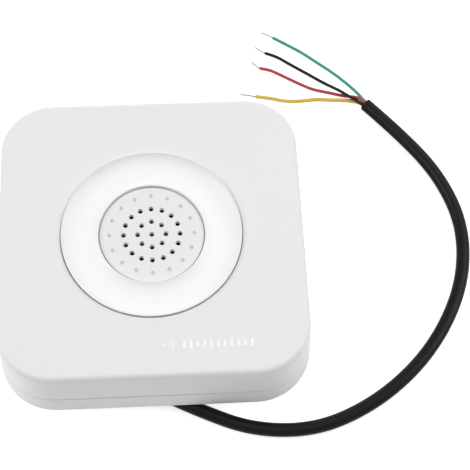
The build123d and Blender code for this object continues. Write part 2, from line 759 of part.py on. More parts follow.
coil_inner = magnet_radius + coil_gap
coil_outer = coil_inner + coil_wall
coil_bottom = magnet_bottom + coil_lift
with BuildPart() as voice_coil:
    with BuildSketch(Plane.XY.offset(coil_bottom)):
        Circle(coil_outer)
        Circle(coil_inner, mode=Mode.SUBTRACT)
    extrude(amount=coil_height)
save(voice_coil, "voice_coil")

cone_base = coil_bottom + coil_height
cone_edge = cone_base + cone_rise
dome_top = cone_base + dome_rise
with BuildPart() as speaker_cone:
    with BuildSketch(Plane.XZ):
        with BuildLine():
            Line((0, dome_top), (0, dome_top + cone_thickness))
            TangentArc((0, dome_top + cone_thickness), (coil_inner, cone_base + cone_thickness), tangent=(1, 0))
            Polyline((coil_inner, cone_base + cone_thickness), (coil_outer, cone_base + cone_thickness),
                     (cone_radius, cone_edge + cone_thickness), (cone_radius, cone_edge),
                     (coil_outer, cone_base), (coil_inner, cone_base))
            TangentArc((0, dome_top), (coil_inner, cone_base), tangent=(1, 0))
        make_face()
    revolve(axis=Axis.Z)
save(speaker_cone, "speaker_cone")

surround_inner = cone_radius - surround_land
roll_inner = cone_radius + cone_clearance
roll_base = cone_edge + cone_thickness
roll_middle = (roll_inner + pan_rim_inner) / 2
with BuildPart() as cone_surround:
    with BuildSketch(Plane.XZ):
        with BuildLine():
            Line((surround_inner, roll_base), (surround_inner, roll_base + surround_thickness))
            Line((surround_inner, roll_base + surround_thickness), (roll_inner, roll_base + surround_thickness))
            ThreePointArc((roll_inner, roll_base + surround_thickness),
                          (roll_middle, roll_base + surround_rise + surround_thickness),
                          (pan_rim_inner, pan_rim_top + surround_thickness))
            Polyline((pan_rim_inner, pan_rim_top + surround_thickness),
                     (surround_outer, pan_rim_top + surround_thickness), (surround_outer, pan_rim_top),
                     (pan_rim_inner, pan_rim_top))
            ThreePointArc((pan_rim_inner, pan_rim_top), (roll_middle, roll_base + surround_rise),
                          (roll_inner, roll_base))
            Line((roll_inner, roll_base), (surround_inner, roll_base))
        make_face()
    revolve(axis=Axis.Z)
save(cone_surround, "cone_surround")

with BuildPart() as speaker_gasket:
    with BuildSketch(Plane.XY.offset(pan_rim_top)):
        Circle(speaker_radius)
        Circle(surround_outer, mode=Mode.SUBTRACT)
    extrude(amount=gasket_thickness)
save(speaker_gasket, "speaker_gasket")

# Terminal tag on the speaker and its two leads to the board
terminal_inner = -pan_rim_radius
terminal_outer = terminal_inner - terminal_length
with BuildPart() as speaker_terminal:
    with BuildSketch(Plane.XY.offset(pan_rim_z - terminal_thickness)):
        with Locations((0, (terminal_inner + terminal_outer) / 2)):
            RectangleRounded(terminal_width, terminal_length, terminal_corner_radius)
    extrude(amount=terminal_thickness)
save(speaker_terminal, "speaker_terminal")

lead_z = pan_rim_z - terminal_thickness - speaker_lead_radius
for colour, side in (("red", -1), ("black", 1)):
    lead_x = side * terminal_lead_offset
    lead_start = terminal_outer + speaker_lead_bend
    lead_route = [(lead_x, lead_start, lead_z), (lead_x, lead_start - speaker_lead_reach, lead_z),
                  (lead_x, lead_start - speaker_lead_reach, board_top)]
    speaker_lead = make_tube(lead_route, speaker_lead_radius, [speaker_lead_bend])[0]
    save(speaker_lead, f"speaker_lead_{colour}")


def place_boxes(size, places):
    # Blocks of one size, standing on the board
    with Locations(*[(x, y - board_height / 2, board_top + size[2] / 2) for x, y in places]):
        Box(*size)


# Chips with their legs
leg_places = [(x + (i - (leg_count - 1) / 2) * leg_pitch, y + side * (chip_size[1] + leg_size[1]) / 2)
              for x, y in chip_places for i in range(leg_count) for side in (-1, 1)]
for name, place in zip(("sound_chip", "amplifier_chip"), chip_places):
    with BuildPart() as chip:
        place_boxes(chip_size, [place])
        chamfer(chip.edges().group_by(Axis.Z)[-1], chip_edge)
    save(chip, name)

with BuildPart() as chip_legs:
    place_boxes(leg_size, leg_places)
save(chip_legs, "chip_legs")

# Regulator, diodes, resistors and capacitors
with BuildPart() as voltage_regulator:
    place_boxes(regulator_size, [regulator_place])
save(voltage_regulator, "voltage_regulator")

with BuildPart() as protection_diodes:
    place_boxes(diode_size, diode_places)
save(protection_diodes, "protection_diodes")

with BuildPart() as chip_resistors:
    place_boxes(resistor_size, resistor_places)
save(chip_resistors, "chip_resistors")

with BuildPart() as chip_capacitors:
    place_boxes(small_capacitor_size, small_capacitor_places)
save(chip_capacitors, "chip_capacitors")

with BuildPart() as filter_capacitors:
    for can_radius, side in zip(can_radii, (-1, 1)):
        with BuildSketch(Plane.YZ.offset(side * can_x - can_length / 2)):
            with Locations((can_y, board_top + can_radius)):
                Circle(can_radius)
        extrude(amount=can_length)
    fillet(filter_capacitors.edges().filter_by(GeomType.CIRCLE), can_edge_radius)
save(filter_capacitors, "filter_capacitors")

# Cable outside the case
cable_jacket, cable_length = make_tube(cable_route, cable_radius)
report_tube("cable_jacket", cable_route, cable_radius, cable_jacket, cable_length)
save(cable_jacket, "cable_jacket")

# Insulated cores beyond the jacket, and the bare conductors at their ends
for colour, route in core_routes.items():
    core, core_length = make_tube(route, core_radius)
    report_tube(f"core_{colour}", route, core_radius, core, core_length)
    save(core, f"core_{colour}")

for colour, route in conductor_routes.items():
    save(make_tube(route, conductor_radius)[0], f"conductor_{colour}")
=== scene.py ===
import math
import bmesh
import bpy
from mathutils import Matrix, Vector
from mathutils import noise as cells


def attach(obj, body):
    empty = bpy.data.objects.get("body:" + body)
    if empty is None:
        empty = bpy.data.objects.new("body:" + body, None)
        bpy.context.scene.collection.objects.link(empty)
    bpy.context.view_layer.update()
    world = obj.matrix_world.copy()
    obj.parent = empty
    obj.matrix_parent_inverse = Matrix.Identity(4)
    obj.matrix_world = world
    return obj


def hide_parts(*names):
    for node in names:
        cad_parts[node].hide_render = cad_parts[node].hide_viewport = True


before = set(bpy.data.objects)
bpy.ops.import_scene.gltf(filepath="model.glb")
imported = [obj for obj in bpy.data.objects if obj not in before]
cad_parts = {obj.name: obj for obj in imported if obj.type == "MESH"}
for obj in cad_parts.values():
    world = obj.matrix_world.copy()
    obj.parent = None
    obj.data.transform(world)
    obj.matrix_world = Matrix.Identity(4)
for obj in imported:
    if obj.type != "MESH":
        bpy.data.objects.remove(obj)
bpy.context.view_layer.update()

# Lengths are in millimetres. Only WELD, the camera's clip distances, the floor and the lamps
# are in metres.
MM = 0.001

# Camera, fitted to the photograph
CAMERA_PLACE = Vector((6.638, -163.295, 364.181)) * MM
CAMERA_FORWARD = Vector((0.04486, 0.43084, -0.90131)).normalized()
CAMERA_UP = Vector((0.03620, 0.90093, 0.43246))
CAMERA_LENS = 101.747
CAMERA_SENSOR = 36.0
CAMERA_NEAR, CAMERA_FAR = 0.01, 20.0


def make_camera():
    data = bpy.data.cameras.new("camera")
    data.lens = CAMERA_LENS
    data.sensor_width = CAMERA_SENSOR
    data.clip_start, data.clip_end = CAMERA_NEAR, CAMERA_FAR
    camera = bpy.data.objects.new("camera", data)
    right = CAMERA_FORWARD.cross(CAMERA_UP).normalized()
    up = right.cross(CAMERA_FORWARD)
    turn = Matrix((right, up, -CAMERA_FORWARD)).transposed()
    camera.matrix_world = Matrix.Translation(CAMERA_PLACE) @ turn.to_4x4()
    bpy.context.scene.collection.objects.link(camera)
    bpy.context.scene.camera = camera


make_camera()

# Mesh building
SMOOTH_ANGLE = 35.0
WELD = 1e-8
TURNED_SIDES = 144
SMALL_SIDES = 20
TUBE_SIDES = 10


def mesh_piece(name, bm, body, smooth_angle=SMOOTH_ANGLE):
    data = bpy.data.meshes.new(name)
    bm.to_mesh(data)
    bm.free()
    piece = bpy.data.objects.new(name, data)
    bpy.context.scene.collection.objects.link(piece)
    data.shade_smooth()
    data.set_sharp_from_angle(angle=math.radians(smooth_angle))
    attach(piece, body)
    return piece


def closed_piece(name, bm, body, smooth_angle=SMOOTH_ANGLE):
    # Piece of closed shells, first welded and faced outwards
    bmesh.ops.remove_doubles(bm, verts=bm.verts, dist=WELD)
    bmesh.ops.recalc_face_normals(bm, faces=bm.faces)
    return mesh_piece(name, bm, body, smooth_angle)


def join_rings(bm, rings):
    # Four-sided faces between each ring of points and the next
    for a, b in zip(rings, rings[1:]):
        for i in range(len(a)):
            j = (i + 1) % len(a)
            bm.faces.new((a[i], a[j], b[j], b[i]))


def solid_into(bm, rings):
    # Solid through a row of rings, closed at both ends
    join_rings(bm, rings)
    bm.faces.new(rings[0][::-1])
    bm.faces.new(rings[-1])


def turn_angles(count):
    return [2 * math.pi * k / count for k in range(count)]


def heading(points, i):
    # Direction of a line at one of its points
    return (points[min(i + 1, len(points) - 1)] - points[max(i - 1, 0)]).normalized()


def tube_into(bm, points, radius, sides=TUBE_SIDES):
    # Round tube along points in metres, closed at both ends
    rings = []
    normal = heading(points, 0).orthogonal().normalized()
    for i, point in enumerate(points):
        ahead = heading(points, i)
        normal = (normal - ahead * normal.dot(ahead)).normalized()
        side = ahead.cross(normal)
        rings.append([
            bm.verts.new(point + (normal * math.cos(a) + side * math.sin(a)) * radius)
            for a in turn_angles(sides)])
    solid_into(bm, rings)


def turned_into(bm, profile, place=(0.0, 0.0, 0.0), count=SMALL_SIDES, wave=None):
    # Closed profile of (radius, height) turned about an upright axis through the place.
    # The wave gives the change of height at a radius and an angle.
    x, y, z = place
    rings = []
    for angle in turn_angles(count):
        rings.append([
            bm.verts.new(((x + r * math.cos(angle)) * MM, (y + r * math.sin(angle)) * MM,
                          (z + height + (wave(r, angle) if wave else 0.0)) * MM))
            for r, height in profile])
    join_rings(bm, rings + rings[:1])


def turned(name, profile, body, count=TURNED_SIDES, wave=None, smooth_angle=SMOOTH_ANGLE):
    bm = bmesh.new()
    turned_into(bm, profile, count=count, wave=wave)
    return closed_piece(name, bm, body, smooth_angle)


# Cords: control points of their splines
CABLE_RADIUS = 2.0
CORE_RADII = {"green": 0.5, "black": 0.5, "red": 0.5, "yellow": 0.58}
CABLE_ROUTE = [
    (-16.0, -11.0, 9.6), (-16.0, -17.1, 9.6), (-14.7, -23.1, 8.5), (-12.2, -28.5, 6.5),
    (-8.6, -33.1, 4.5), (-4.1, -36.9, 2.9), (11.0, -44.7, 2.0), (26.5, -51.4, 2.0),
    (44.2, -52.2, 2.0), (60.1, -46.1, 2.0), (74.1, -35.8, 2.0), (84.9, -22.7, 2.0),
    (92.3, -6.9, 2.0), (94.2, 10.4, 2.0), (89.4, 26.8, 2.0), (79.8, 41.4, 2.0),
    (68.7, 54.0, 2.0)]
CORE_ROUTES = {
    "green": [
        (69.27, 54.5, 2.0), (68.1, 55.85, 2.0), (66.7, 58.9, 1.1), (64.2, 62.4, 0.5),
        (60.0, 66.8, 0.5), (54.6, 71.4, 0.5), (49.7, 75.6, 0.5), (45.0, 78.8, 0.5),
        (40.8, 81.6, 0.5)],
    "black": [
        (68.13, 53.5, 2.0), (67.14, 54.62, 2.0), (65.5, 56.0, 2.0), (63.4, 57.7, 1.8),
        (60.8, 60.0, 1.5), (56.2, 63.5, 0.5), (50.9, 67.4, 0.5), (45.5, 71.2, 0.5),
        (41.2, 74.5, 0.5), (37.9, 75.7, 0.5)],
    "red": [
        (68.7, 54.0, 2.76), (67.71, 55.13, 2.76), (66.5, 56.9, 1.8), (64.9, 58.0, 0.7),
        (61.6, 58.6, 0.5), (57.2, 60.0, 0.5), (52.2, 61.3, 0.5), (47.3, 64.1, 0.5),
        (42.2, 67.3, 0.5), (38.5, 69.5, 0.5), (35.8, 69.9, 0.5)],
    "yellow": [
        (68.7, 54.0, 1.24), (67.71, 55.13, 1.0), (65.9, 56.1, 0.58), (62.4, 56.9, 0.58),
        (57.4, 57.1, 0.58), (53.2, 57.6, 0.58), (47.9, 57.0, 0.58), (43.0, 57.2, 0.58),
        (38.2, 58.6, 0.58), (33.8, 59.3, 0.58)]}
CONDUCTOR_ROUTES = {
    "green": [(40.8, 81.6, 0.5), (39.1, 82.7, 0.5), (37.2, 83.8, 0.4)],
    "black": [(37.9, 75.7, 0.5), (36.3, 76.5, 0.5), (34.8, 78.1, 0.4)],
    "red": [(35.8, 69.9, 0.5), (34.6, 70.9, 0.5), (33.3, 72.4, 0.4)],
    "yellow": [(33.8, 59.3, 0.58), (31.5, 59.9, 0.5), (29.1, 60.4, 0.4)]}
CORD_STEPS = 24
CORD_ROUNDING = 7
STRAND_RADIUS = 0.075
STRAND_COUNT = 6
STRAND_TURN = 1.9
LIP_LENGTH = 0.35
LIP_WALL = 0.42
LIP_EDGE = 0.15
LIP_SIDES = 48


def route_curve(name, points, radius):
    # The bevel is 1 deep and each point's radius scales it
    data = bpy.data.curves.new(name, "CURVE")
    data.dimensions = "3D"
    data.resolution_u = CORD_STEPS
    data.bevel_depth = 1.0 if radius else 0.0
    data.bevel_resolution = CORD_ROUNDING
    data.use_fill_caps = radius > 0
    spline = data.splines.new("NURBS")
    spline.points.add(len(points) - 1)
    for target, point in zip(spline.points, points):
        target.co = (*(c * MM for c in point), 1.0)
        target.radius = radius * MM
    spline.order_u = 3
    spline.use_endpoint_u = True
    piece = bpy.data.objects.new(name, data)
    bpy.context.scene.collection.objects.link(piece)
    return piece


def line_points(route):
    # Points of the route's own spline, read from a curve with no bevel
    curve = route_curve("line", route, 0)
    mesh = bpy.data.meshes.new_from_object(curve)
    points = [v.co.copy() for v in mesh.vertices]
    bpy.data.objects.remove(curve)
    bpy.data.meshes.remove(mesh)
    return points


def way_length(route):
    points = line_points(route)
    return sum((b - a).length for a, b in zip(points, points[1:]))


def strand_piece(name, route, body):
    # Stranded conductor: one straight strand with the others wound round it
    line = line_points(route)
    bm = bmesh.new()
    tube_into(bm, line, STRAND_RADIUS * MM)
    lay = 2 * STRAND_RADIUS * MM
    for k in range(STRAND_COUNT):
        points = []
        way = 0.0
        for i, point in enumerate(line):
            if i:
                way += (point - line[i - 1]).length
            ahead = heading(line, i)
            normal = (Vector((0, 0, 1)) - ahead * ahead.z).normalized()
            side = ahead.cross(normal)
            angle = 2 * math.pi * (k / STRAND_COUNT + way / (STRAND_TURN * MM))
            points.append(point + (normal * math.cos(angle) + side * math.sin(angle)) * lay)
        tube_into(bm, points, STRAND_RADIUS * MM)
    return mesh_piece(name, bm, body)


def jacket_lip(end, ahead):
    # Cut end of the jacket, standing a little past the filling round the cores
    profile = [
        (-LIP_EDGE, CABLE_RADIUS), (LIP_LENGTH - LIP_EDGE, CABLE_RADIUS),
        (LIP_LENGTH, CABLE_RADIUS - LIP_EDGE), (LIP_LENGTH, CABLE_RADIUS - LIP_WALL),
        (-LIP_EDGE, CABLE_RADIUS - LIP_WALL)]
    bm = bmesh.new()
    side = ahead.orthogonal().normalized()
    other = ahead.cross(side)
    rings = []
    for along, radius in profile:
        centre = end + ahead * along * MM
        rings.append([
            bm.verts.new(centre + (side * math.cos(a) + other * math.sin(a)) * radius * MM)
            for a in turn_angles(LIP_SIDES)])
    join_rings(bm, rings + rings[:1])
    lip = closed_piece("jacket_lip", bm, "case")
    return lip


def cord_piece(name, route, radius, node):
    cord = route_curve(name, route, radius)
    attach(cord, "case")
    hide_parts(node)
    return cord


def declare_cord(route):
    way_length(route)


def make_cords():
    jacket = cord_piece("cable_line", CABLE_ROUTE, CABLE_RADIUS, "cable_jacket")
    end, before = (Vector(p) * MM for p in (CABLE_ROUTE[-1], CABLE_ROUTE[-2]))
    lip = jacket_lip(end, (end - before).normalized())
    declare_cord(CABLE_ROUTE)
    made = [jacket, lip]
    for colour, route in CORE_ROUTES.items():
        radius = CORE_RADII[colour]
        core = cord_piece(f"core_line_{colour}", route, radius, f"core_{colour}")
        strands = strand_piece(f"strands_{colour}", CONDUCTOR_ROUTES[colour], "case")
        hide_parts(f"conductor_{colour}")
        declare_cord(route)
        made += [core, strands]
    return made


PIECES = make_cords()

# Speaker: foam, film and winding. PAD and GASKET are (inner radius, outer radius, low, high)
BOARD_TOP = 16.8
PAD = (0.0, 8.0, BOARD_TOP, 17.5)
GASKET = (15.8, 18.0, 21.5, 22.8)
FOAM_EDGE = 0.18
FOAM_STEP = 0.3
FOAM_SIDES = 240
FOAM_SMOOTH = 80.0
FOAM_CELL = 0.55
FOAM_DEPTH = 0.07
COIL_INNER = 6.45
COIL_OUTER = 6.75
COIL_LOW, COIL_HIGH = 19.4, 21.1
FORMER_WALL = 0.06
WIRE_RADIUS = 0.09
WIRE_TURNS = 7
WIRE_SIDES = 8
TURN_STEPS = 60
CONE_RADIUS = 13.7
CONE_EDGE = 21.6
CONE_WALL = 0.2
DOME_RISE = 1.0
DOME_STEPS = 16
SKIRT_STEPS = 20
RIB_COUNT = 36
RIB_SIDES = 8
RIB_HEIGHT = 0.09
RIB_TWIST = 0.16
RIB_END = 0.9
ROLL_INNER, ROLL_START, ROLL_END, ROLL_OUTER = 13.2, 13.8, 15.0, 15.8
ROLL_BASE = 21.8
ROLL_LAND = 21.5
ROLL_RISE = 0.4
ROLL_WALL = 0.15
ROLL_STEPS = 12
ROLL_RIBS = 60
ROLL_RIB_SIDES = 6
ROLL_RIB = 0.04
TINY = 1e-6


def steps_between(a, b, step):
    # Points from a to b, without b, no further apart than the step
    count = max(1, math.ceil(math.dist(a, b) / step))
    return [tuple(p + (q - p) * i / count for p, q in zip(a, b)) for i in range(count)]


def foam_piece(name, size, node):
    # Foam cut from sheet: softened edges and open cells sunk into every face
    inner, outer, low, high = size
    edge = FOAM_EDGE
    corners = [(outer - edge, low), (outer, low + edge), (outer, high - edge),
               (outer - edge, high)]
    if inner:
        corners += [(inner + edge, high), (inner, high - edge), (inner, low + edge),
                    (inner + edge, low)]
    else:
        corners += [(inner, high), (inner, low)]
    profile = [p for a, b in zip(corners, corners[1:] + corners[:1])
               for p in steps_between(a, b, FOAM_STEP)]
    piece = turned(name, profile, "case", count=FOAM_SIDES, smooth_angle=FOAM_SMOOTH)
    # A disc sinks towards its middle, a ring towards the circle through its section's middle
    middle = Vector((0.0, 0.0, (low + high) / 2))
    core_radius = (inner + outer) / 2 if inner else 0.0
    for v in piece.data.vertices:
        place = v.co / MM
        radius = math.hypot(place.x, place.y)
        core = Vector((place.x, place.y, 0.0)) * (core_radius / max(radius, TINY)) + middle
        depth = (cells.noise(place / FOAM_CELL) + 1.0) / 2 * FOAM_DEPTH
        v.co = (place + (core - place).normalized() * depth) * MM
    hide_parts(node)
    return piece


def film_rib(r, angle):
    # Slanting ribs of the cone, fading out at both edges
    share = (r - COIL_OUTER) / (CONE_RADIUS - COIL_OUTER)
    if not 0.0 < share < RIB_END:
        return 0.0
    return (RIB_HEIGHT * math.sin(math.pi * share / RIB_END)
            * math.sin(RIB_COUNT * (angle + RIB_TWIST * share)))


def roll_rib(r, angle):
    # Small ribs across the roll of the surround
    share = (r - ROLL_START) / (ROLL_END - ROLL_START)
    if not 0.0 < share < 1.0:
        return 0.0
    return (ROLL_RIB * math.sin(math.pi * share)
            * math.sin(ROLL_RIBS * (angle + RIB_TWIST * share)))


def strip_profile(line, wall):
    # The line as the top of a sheet of that thickness
    return line + [(r, z - wall) for r, z in reversed(line)]


def dome_piece():
    top = COIL_HIGH + CONE_WALL
    shares = [i / DOME_STEPS for i in range(DOME_STEPS + 1)]
    line = [(COIL_INNER * share, top + DOME_RISE * (1 - share ** 2)) for share in shares]
    return turned("film_dome", strip_profile(line, CONE_WALL), "cone")


def skirt_piece():
    top = COIL_HIGH + CONE_WALL
    line = [(COIL_INNER, top), (COIL_OUTER, top)]
    for i in range(1, SKIRT_STEPS + 1):
        line.append((COIL_OUTER + (CONE_RADIUS - COIL_OUTER) * i / SKIRT_STEPS,
                     top + (CONE_EDGE - COIL_HIGH) * i / SKIRT_STEPS))
    return turned("film_skirt", strip_profile(line, CONE_WALL), "cone",
                  count=RIB_COUNT * RIB_SIDES, wave=film_rib)


def roll_piece():
    line = [(ROLL_INNER, ROLL_BASE + ROLL_WALL)]
    for i in range(ROLL_STEPS + 1):
        share = i / ROLL_STEPS
        line.append((ROLL_START + (ROLL_END - ROLL_START) * share,
                     ROLL_BASE + (ROLL_LAND - ROLL_BASE) * share
                     + ROLL_RISE * math.sin(math.pi * share) + ROLL_WALL))
    line.append((ROLL_OUTER, ROLL_LAND + ROLL_WALL))
    return turned("film_roll", strip_profile(line, ROLL_WALL), "case",
                  count=ROLL_RIBS * ROLL_RIB_SIDES, wave=roll_rib)


def former_piece():
    outer = COIL_INNER + FORMER_WALL
    return turned("coil_former", [(COIL_INNER, COIL_LOW), (COIL_INNER, COIL_HIGH),
                                  (outer, COIL_HIGH), (outer, COIL_LOW)], "cone")


def winding_piece():
    # One wire wound round the former, each turn lying on the one below
    wound = COIL_INNER + FORMER_WALL + WIRE_RADIUS
    points = []
    for k in range(WIRE_TURNS * TURN_STEPS + 1):
        angle = 2 * math.pi * k / TURN_STEPS
        points.append(Vector((wound * math.cos(angle), wound * math.sin(angle),
                              COIL_LOW + WIRE_RADIUS * (1 + angle / math.pi))) * MM)
    bm = bmesh.new()
    tube_into(bm, points, WIRE_RADIUS * MM, WIRE_SIDES)
    return mesh_piece("coil_winding", bm, "cone")


def make_speaker():
    made = [foam_piece("foam_pad", PAD, "speaker_pad"),
            foam_piece("foam_ring", GASKET, "speaker_gasket")]
    for make_piece, node, slot in (
            (dome_piece, "speaker_cone", "clear_film"),
            (skirt_piece, "speaker_cone", "clear_film"),
            (roll_piece, "cone_surround", "clear_film"),
            (former_piece, "voice_coil", "enamelled_copper"),
            (winding_piece, "voice_coil", "enamelled_copper")):
        piece = make_piece()
        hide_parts(node)
        made.append(piece)
    return made


PIECES += make_speaker()

# Board: solder, end caps, tracks and printed lines. A place is (x, y) on the board. A pair
# for stepped() is the first track's length and what each next track adds to it. A can is
# (x, radius, way that its leads point), and a regulator's leg is (offset, half width, way).
PIN_Y = 24.9
PIN_XS = (-19.0, -17.0, -15.0, -13.0)
PIN_SHIFT = (6.0, -0.4)
PIN_ROWS = ((2.0, 1.0), (8.0, -0.6), (10.0, 1.2))
HEADER = (-16.0, PIN_Y)
HEADER_HALF = (5.2, 1.3)
CHIPS = ((-11.0, -28.0), (6.0, -28.0))
CHIP_HALF = (2.5, 2.0)
CHIP_OUTLINE = (CHIP_HALF[0] + 0.2, CHIP_HALF[1] - 0.1)
CHIP_HEIGHT = 1.5
LEG_COUNT = 4
LEG_PITCH = 1.27
LEG_REACH = 3.1
PAD_UNDER = 0.35
PAD_OUT = 0.3
PAD_HALF = 0.3
PAD_HEIGHT = 0.16
PAD_INSET = (0.08, 0.12)
TRACK_WIDTH = 0.35
PRINT_WIDTH = 0.16
LINE_HEIGHT = 0.03
MITRE_LEAST = 0.3
TRACK_RUN = (1.2, 0.7)
TRACK_SLANT = (3.5, 2.2)
TRACK_END = (3.0, 1.0)
TRACK_STUB = (0.8, 0.45)
SMALL_HALF = (1.0, 0.625)
SMALL_OUTLINE = (SMALL_HALF[0] + 0.65, SMALL_HALF[1] + 0.3)
RESISTORS = ((-19.0, -27.5), (-19.0, -30.0), (-4.0, -31.5), (-4.0, -28.5), (-1.0, -31.5),
             (12.5, -31.5), (26.0, -10.0), (26.0, -13.0))
CAPACITORS = ((-1.0, -28.5), (12.5, -28.5), (-26.0, -10.0), (-26.0, -13.0), (26.0, -7.0))
RESISTOR_HEIGHT = 0.5
CAPACITOR_HEIGHT = 0.9
CAP_WIDTH = 0.42
CAP_SKIN = 0.02
FILLET_UNDER = 0.05
FILLET_OUT = 0.4
FILLET_HEIGHT = 0.3
FILLET_INSET = (0.15, 0.12)
TERMINAL_HEIGHT = 0.25
DIODES = ((-21.0, -22.5), (21.0, -22.5))
DIODE_HALF = 2.15
DIODE_UNDER = 0.3
DIODE_OUT = 0.45
DIODE_LEG_HALF = 0.75
DIODE_INSET = (0.05, 0.05)
REGULATOR = (17.5, -29.5)
REGULATOR_HALF = 1.3
REGULATOR_LEGS = ((-1.5, 0.25, -1), (0.0, 0.25, -1), (1.5, 0.25, -1), (0.0, 1.0, 1))
REGULATOR_UNDER = 0.1
REGULATOR_OUT = 0.9
REGULATOR_INSET = (0.03, 0.05)
CANS = ((-15.0, 3.0, 1), (15.0, 2.5, -1))
CAN_Y = 28.5
CAN_HALF = 5.5
LEAD_RADIUS = 0.25
LEAD_ROUND = 12
LEAD_INSIDE = 0.2
LEAD_OUT = 1.2
LEAD_SIDE = 1.0
LEAD_BEND = 0.5
LEAD_CORNER = 0.15
STRIPE_HALF = 4.9
STRIPE_START = 70.0
STRIPE_STEP = 5.5
STRIPE_STEPS = 8
STRIPE_SKIN = 0.02
CROSS_MARGIN = 0.9
CROSS_HALF = 0.12
CROSS_DEPTH = 0.06
JOINT = ((0.0, 0.42), (0.3, 0.4), (0.42, 0.25), (0.75, 0.05), (0.8, 0.0), (0.0, 0.0))
VIA = ((0.2, 0.0), (0.2, 0.05), (0.45, 0.05), (0.45, 0.0))
DOT = ((0.0, 0.0), (0.0, 0.015), (0.28, 0.015), (0.28, 0.0))
DOT_INSET = 0.8
TAG_TOP = 20.7
TAG_JOINTS = ((-2.0, -18.4), (2.0, -18.4))
SOLDER_BEVEL = 0.05
METAL_BEVEL = 0.03
CROSS_BEVEL = 0.02
BEVEL_STEPS = 2
SQUARE = ((-1, -1), (1, -1), (1, 1), (-1, 1))


def block_into(bm, low, high, top_inset=(0.0, 0.0)):
    # Block between two corners, its top drawn in at the sides or ends
    rings = []
    for z, (a, b) in ((low[2], (0.0, 0.0)), (high[2], top_inset)):
        rings.append([bm.verts.new((x * MM, y * MM, z * MM)) for x, y in (
            (low[0] + a, low[1] + b), (high[0] - a, low[1] + b),
            (high[0] - a, high[1] - b), (low[0] + a, high[1] - b))])
    solid_into(bm, rings)


def line_into(bm, points, width):
    # Flat raised line with mitred corners along the points
    flat = [Vector(p) for p in points]
    runs = [(b - a).normalized() for a, b in zip(flat, flat[1:])]
    rings = []
    for point, behind, ahead in zip(flat, runs[:1] + runs, runs + runs[-1:]):
        across = (ahead + behind).normalized()
        reach = width / 2 / max(MITRE_LEAST, across.dot(ahead))
        out = Vector((-across.y, across.x)) * reach
        rings.append([
            bm.verts.new(((point.x + out.x * side) * MM, (point.y + out.y * side) * MM,
                          (BOARD_TOP + height) * MM))
            for side, height in ((1, 0.0), (1, LINE_HEIGHT), (-1, LINE_HEIGHT), (-1, 0.0))])
    solid_into(bm, rings)


def outline_into(bm, place, half):
    # Printed rectangle round a place
    corners = [(place[0] + a * half[0], place[1] + b * half[1]) for a, b in SQUARE]
    line_into(bm, corners + corners[:1], PRINT_WIDTH)


def track_into(tracks, metal, points):
    # Track that ends in a via
    line_into(tracks, points, TRACK_WIDTH)
    turned_into(metal, VIA, (*points[-1], BOARD_TOP))


def span(edge, way, inside, outside):
    # Both ends, the lower first, of what reaches so far inside and outside an edge
    return sorted((edge - way * inside, edge + way * outside))


def stepped(rule, k):
    # Length for the track of that number
    first, step = rule
    return first + step * k


def joints_into(solder):
    feet = [(x + way * (CAN_HALF + LEAD_OUT), CAN_Y + side * LEAD_SIDE)
            for x, _, way in CANS for side in (-1, 1)]
    for x, y in [(x, PIN_Y) for x in PIN_XS] + feet:
        turned_into(solder, JOINT, (x, y, BOARD_TOP))
    for x, y in TAG_JOINTS:
        turned_into(solder, JOINT, (x, y, TAG_TOP))


def small_parts_into(solder, metal, printed):
    # End caps, their solder and an outline for each resistor and small capacitor
    half_x, half_y = SMALL_HALF
    for places, height in ((RESISTORS, RESISTOR_HEIGHT), (CAPACITORS, CAPACITOR_HEIGHT)):
        for x, y in places:
            for way in (-1, 1):
                end = x + way * (half_x + CAP_SKIN)
                low, high = span(end, way, CAP_WIDTH, 0.0)
                block_into(metal, (low, y - half_y - CAP_SKIN, BOARD_TOP),
                           (high, y + half_y + CAP_SKIN, BOARD_TOP + height + CAP_SKIN))
                low, high = span(end, way, FILLET_UNDER, FILLET_OUT)
                block_into(solder, (low, y - half_y, BOARD_TOP),
                           (high, y + half_y, BOARD_TOP + FILLET_HEIGHT), FILLET_INSET)
            outline_into(printed, (x, y), SMALL_OUTLINE)


def terminals_into(metal):
    # Flat legs of the diodes and of the regulator
    top = BOARD_TOP + TERMINAL_HEIGHT
    for x, y in DIODES:
        for way in (-1, 1):
            low, high = span(x + way * DIODE_HALF, way, DIODE_UNDER, DIODE_OUT)
            block_into(metal, (low, y - DIODE_LEG_HALF, BOARD_TOP),
                       (high, y + DIODE_LEG_HALF, top), DIODE_INSET)
    x, y = REGULATOR
    for offset, half, way in REGULATOR_LEGS:
        low, high = span(y + way * REGULATOR_HALF, way, REGULATOR_UNDER, REGULATOR_OUT)
        block_into(metal, (x + offset - half, low, BOARD_TOP), (x + offset + half, high, top),
                   REGULATOR_INSET)


def chips_into(solder, metal, tracks, printed):
    # Outline of each chip, and at each leg its solder, a bent track and a short one
    for (x, y), way_out in zip(CHIPS, (-1, 1)):
        outline_into(printed, (x, y), CHIP_OUTLINE)
        for i in range(LEG_COUNT):
            leg = x + (i - (LEG_COUNT - 1) / 2) * LEG_PITCH
            for way in (-1, 1):
                low, high = span(y + way * LEG_REACH, way, PAD_UNDER, PAD_OUT)
                block_into(solder, (leg - PAD_HALF, low, BOARD_TOP),
                           (leg + PAD_HALF, high, BOARD_TOP + PAD_HEIGHT), PAD_INSET)
            slant = stepped(TRACK_SLANT, i)
            bend_y = y + LEG_REACH + stepped(TRACK_RUN, i)
            turn = (leg + way_out * slant, bend_y + slant)
            end = (turn[0], turn[1] + stepped(TRACK_END, i))
            track_into(tracks, metal, ((leg, y + LEG_REACH), (leg, bend_y), turn, end))
            stub = (leg, y - LEG_REACH - stepped(TRACK_STUB, i))
            track_into(tracks, metal, ((leg, y - LEG_REACH), stub))


